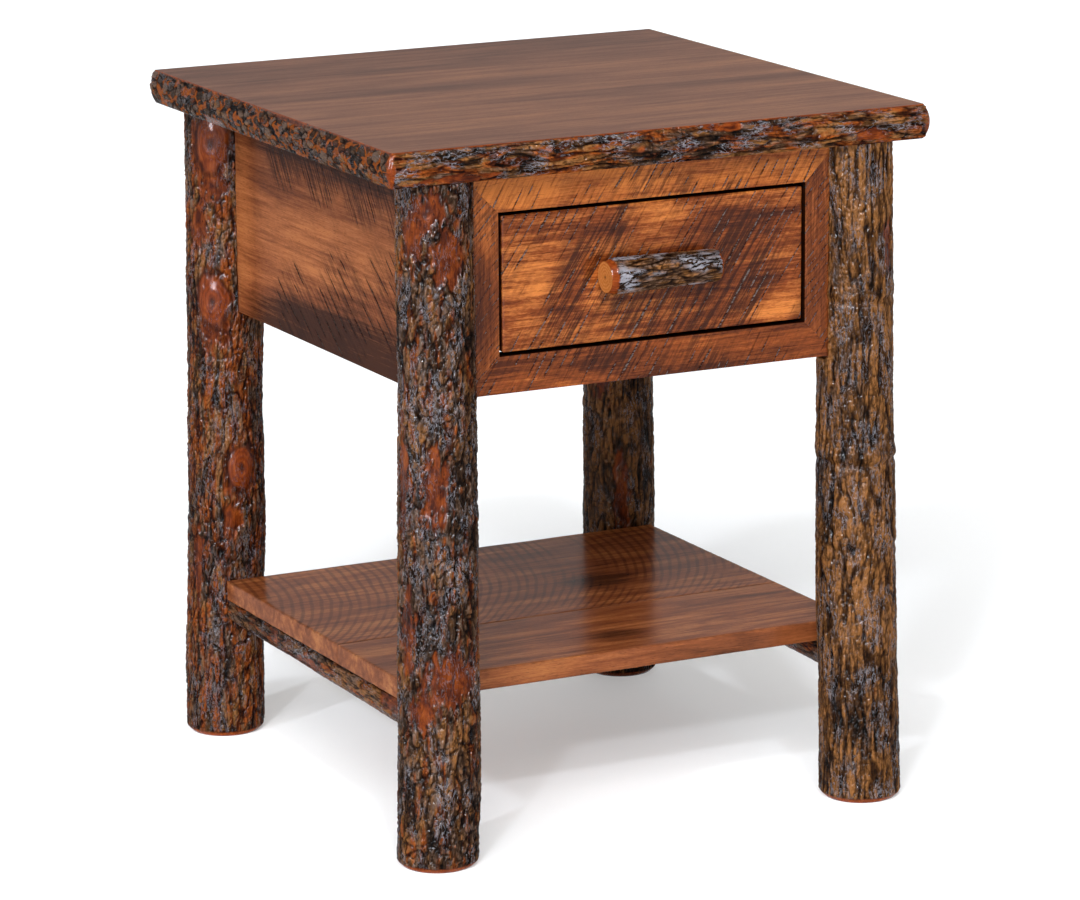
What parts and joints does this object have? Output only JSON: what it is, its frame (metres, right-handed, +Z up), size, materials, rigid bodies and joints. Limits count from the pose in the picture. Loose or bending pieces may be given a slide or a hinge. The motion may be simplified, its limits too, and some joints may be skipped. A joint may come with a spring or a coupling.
{
  "type": "rustic log end table",
  "caption": "Rustic log end table: notched bark-on legs carry a case with a full-extension drawer, a plank top with bark edges and a lower shelf.",
  "frame": {"origin": "on the floor, under the middle of the table's bounding box", "axes": "+X to the table's right seen from the front, -Y out of the drawer front, +Z up"},
  "size_m": [0.551, 0.561, 0.66],
  "materials": {
    "hickory_bark": "bark on, lacquered gloss",
    "stained_boards": "rough-sawn, stained and lacquered",
    "stained_inner_boards": "stained, satin",
    "drawer_box_wood": "clear satin",
    "slide_steel": "zinc plated",
    "screw_steel": "zinc plated"
  },
  "bodies": {
    "table": {"leg_front_left": "hickory_bark", "leg_front_right": "hickory_bark", "leg_rear_left": "hickory_bark", "leg_rear_right": "hickory_bark", "stretcher_left": "hickory_bark", "stretcher_right": "hickory_bark", "top_trim_front": "hickory_bark", "top_trim_left": "hickory_bark", "top_trim_right": "hickory_bark", "top_board_1": "stained_boards", "top_board_2": "stained_boards", "top_board_3": "stained_boards", "top_board_4": "stained_boards", "shelf_board_front": "stained_boards", "shelf_board_rear": "stained_boards", "case_side_left": "stained_boards", "case_side_right": "stained_boards", "frame_rail_bottom": "stained_boards", "frame_stile_right": "stained_boards", "frame_rail_top": "stained_boards", "frame_stile_left": "stained_boards", "case_back": "stained_inner_boards", "top_cleat_front": "stained_inner_boards", "top_cleat_rear": "stained_inner_boards", "slide_block_left": "stained_inner_boards", "slide_block_right": "stained_inner_boards", "slide_case_member_left": "slide_steel", "slide_case_member_right": "slide_steel", "top_screws": "screw_steel", "leg_screws": "screw_steel", "block_screws": "screw_steel", "shelf_screws": "screw_steel", "back_screws": "screw_steel", "slide_case_screws": "screw_steel"},
    "drawer": {"drawer_front": "stained_boards", "drawer_pull": "hickory_bark", "box_front": "drawer_box_wood", "box_back": "drawer_box_wood", "box_side_left": "drawer_box_wood", "box_side_right": "drawer_box_wood", "box_floor": "drawer_box_wood", "slide_drawer_member_left": "slide_steel", "slide_drawer_member_right": "slide_steel", "drawer_front_screws": "screw_steel", "pull_screws": "screw_steel", "slide_drawer_screws": "screw_steel"},
    "slide_middle_left": {"slide_middle_member_left": "slide_steel"},
    "slide_outer_balls_left": {"slide_outer_balls_left": "slide_steel"},
    "slide_inner_balls_left": {"slide_inner_balls_left": "slide_steel"},
    "slide_middle_right": {"slide_middle_member_right": "slide_steel"},
    "slide_outer_balls_right": {"slide_outer_balls_right": "slide_steel"},
    "slide_inner_balls_right": {"slide_inner_balls_right": "slide_steel"}
  },
  "joints": [
    {"name": "drawer_slide", "type": "slide", "parent": "table", "child": "drawer", "axis": [0, -1, 0], "range_m": [0, 0.44]},
    {"name": "slide_middle_left_travel", "type": "slide", "parent": "table", "child": "slide_middle_left", "axis": [0, -1, 0], "range_m": [0, 0.22]},
    {"name": "slide_outer_balls_left_travel", "type": "slide", "parent": "table", "child": "slide_outer_balls_left", "axis": [0, -1, 0], "range_m": [0, 0.11]},
    {"name": "slide_inner_balls_left_travel", "type": "slide", "parent": "table", "child": "slide_inner_balls_left", "axis": [0, -1, 0], "range_m": [0, 0.33]},
    {"name": "slide_middle_right_travel", "type": "slide", "parent": "table", "child": "slide_middle_right", "axis": [0, -1, 0], "range_m": [0, 0.22]},
    {"name": "slide_outer_balls_right_travel", "type": "slide", "parent": "table", "child": "slide_outer_balls_right", "axis": [0, -1, 0], "range_m": [0, 0.11]},
    {"name": "slide_inner_balls_right_travel", "type": "slide", "parent": "table", "child": "slide_inner_balls_right", "axis": [0, -1, 0], "range_m": [0, 0.33]}
  ],
  "couplings": [
    {"joint": "slide_middle_left_travel", "follows": "drawer_slide", "ratio": 0.5},
    {"joint": "slide_outer_balls_left_travel", "follows": "drawer_slide", "ratio": 0.25},
    {"joint": "slide_inner_balls_left_travel", "follows": "drawer_slide", "ratio": 0.75},
    {"joint": "slide_middle_right_travel", "follows": "drawer_slide", "ratio": 0.5},
    {"joint": "slide_outer_balls_right_travel", "follows": "drawer_slide", "ratio": 0.25},
    {"joint": "slide_inner_balls_right_travel", "follows": "drawer_slide", "ratio": 0.75}
  ]
}
